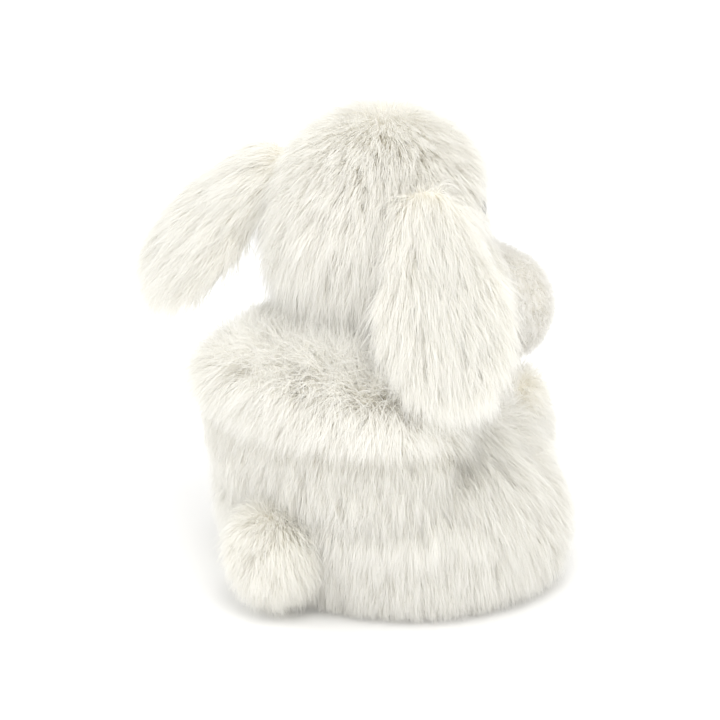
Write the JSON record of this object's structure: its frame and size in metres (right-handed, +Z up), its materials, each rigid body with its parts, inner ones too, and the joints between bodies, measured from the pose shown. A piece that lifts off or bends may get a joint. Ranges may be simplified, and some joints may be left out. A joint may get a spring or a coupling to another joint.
{
  "type": "plush rabbit",
  "caption": "Long-pile plush rabbit with lop ears, sitting upright on a flat weighted base; its head turns and nods, and its ears, arms, feet and tail bend at their seams.",
  "frame": {"origin": "on the flat base that the rabbit rests on, below the middle of the neck's left and right", "axes": "+Z up, the rabbit faces -Y, its left side is +X"},
  "size_m": [0.1686, 0.146, 0.1858],
  "materials": {
    "fur": "white long-pile plush, about 12 mm pile",
    "short_fur": "white short-pile plush",
    "lining": "pale short-nap velour",
    "stuffing": "loose polyester fibre",
    "pellets": "cloth bag of plastic pellets",
    "thread": "polyester sewing thread",
    "eye": "polished black",
    "washer": "natural moulded",
    "nose": "satin-stitched embroidery thread"
  },
  "bodies": {
    "body": {"back_panel_left": "fur", "back_panel_right": "fur", "belly_panel": "fur", "base_panel": "fur", "body_stuffing": "stuffing", "pellet_bag": "pellets", "back_seam_thread": "thread", "neck_thread": "thread"},
    "neck": {"neck_stuffing": "stuffing"},
    "head": {"head_gusset": "fur", "head_side_left": "fur", "head_side_right": "fur", "throat_panel_left": "fur", "throat_panel_right": "fur", "cheek_panel_left": "short_fur", "cheek_panel_right": "short_fur", "head_stuffing": "stuffing", "eye_left": "eye", "eye_right": "eye", "eye_washer_left": "washer", "eye_washer_right": "washer", "nose_stitching": "nose", "mouth_thread": "thread"},
    "ear_left": {"ear_left_back": "fur", "ear_left_lining": "lining"},
    "ear_right": {"ear_right_back": "fur", "ear_right_lining": "lining"},
    "arm_left": {"arm_left_outer": "fur", "arm_left_inner": "fur", "arm_left_stuffing": "stuffing"},
    "arm_right": {"arm_right_outer": "fur", "arm_right_inner": "fur", "arm_right_stuffing": "stuffing"},
    "foot_left": {"foot_left_top": "fur", "foot_left_sole": "short_fur", "foot_left_stuffing": "stuffing"},
    "foot_right": {"foot_right_top": "fur", "foot_right_sole": "short_fur", "foot_right_stuffing": "stuffing"},
    "tail": {"tail_cover": "fur", "tail_stuffing": "stuffing", "tail_thread": "thread"}
  },
  "joints": [
    {"name": "neck_turn", "type": "hinge", "parent": "body", "child": "neck", "pos_m": [0, 0.009, 0.096], "axis": [0, 0, 1], "range_deg": [-20, 20], "stiffness_Nm_per_rad": 0.2},
    {"name": "head_nod", "type": "hinge", "parent": "neck", "child": "head", "pos_m": [0, 0.009, 0.096], "axis": [1, 0, 0], "range_deg": [-8, 8], "stiffness_Nm_per_rad": 0.8},
    {"name": "ear_left_lift", "type": "hinge", "parent": "head", "child": "ear_left", "pos_m": [0.033, 0.0215, 0.1725], "axis": [0.7519, -0.4812, 0.4505], "range_deg": [-15, 40], "stiffness_Nm_per_rad": 0.05},
    {"name": "ear_right_lift", "type": "hinge", "parent": "head", "child": "ear_right", "pos_m": [-0.033, 0.0215, 0.1725], "axis": [0.6984, 0.7, -0.1487], "range_deg": [-5, 60], "stiffness_Nm_per_rad": 0.05},
    {"name": "arm_left_raise", "type": "hinge", "parent": "body", "child": "arm_left", "pos_m": [0.038, -0.0325, 0.071], "axis": [-1, 0, 0], "range_deg": [0, 45], "stiffness_Nm_per_rad": 0.03},
    {"name": "arm_right_raise", "type": "hinge", "parent": "body", "child": "arm_right", "pos_m": [-0.038, -0.0325, 0.071], "axis": [-1, 0, 0], "range_deg": [0, 45], "stiffness_Nm_per_rad": 0.03},
    {"name": "foot_left_turn", "type": "hinge", "parent": "body", "child": "foot_left", "pos_m": [0.027, -0.043, 0.0125], "axis": [0, 0, 1], "range_deg": [-12, 12], "stiffness_Nm_per_rad": 0.05},
    {"name": "foot_right_turn", "type": "hinge", "parent": "body", "child": "foot_right", "pos_m": [-0.027, -0.043, 0.0125], "axis": [0, 0, 1], "range_deg": [-12, 12], "stiffness_Nm_per_rad": 0.05},
    {"name": "tail_lift", "type": "hinge", "parent": "body", "child": "tail", "pos_m": [0, 0.059, 0.026], "axis": [1, 0, 0], "range_deg": [-15, 15], "stiffness_Nm_per_rad": 0.03}
  ]
}
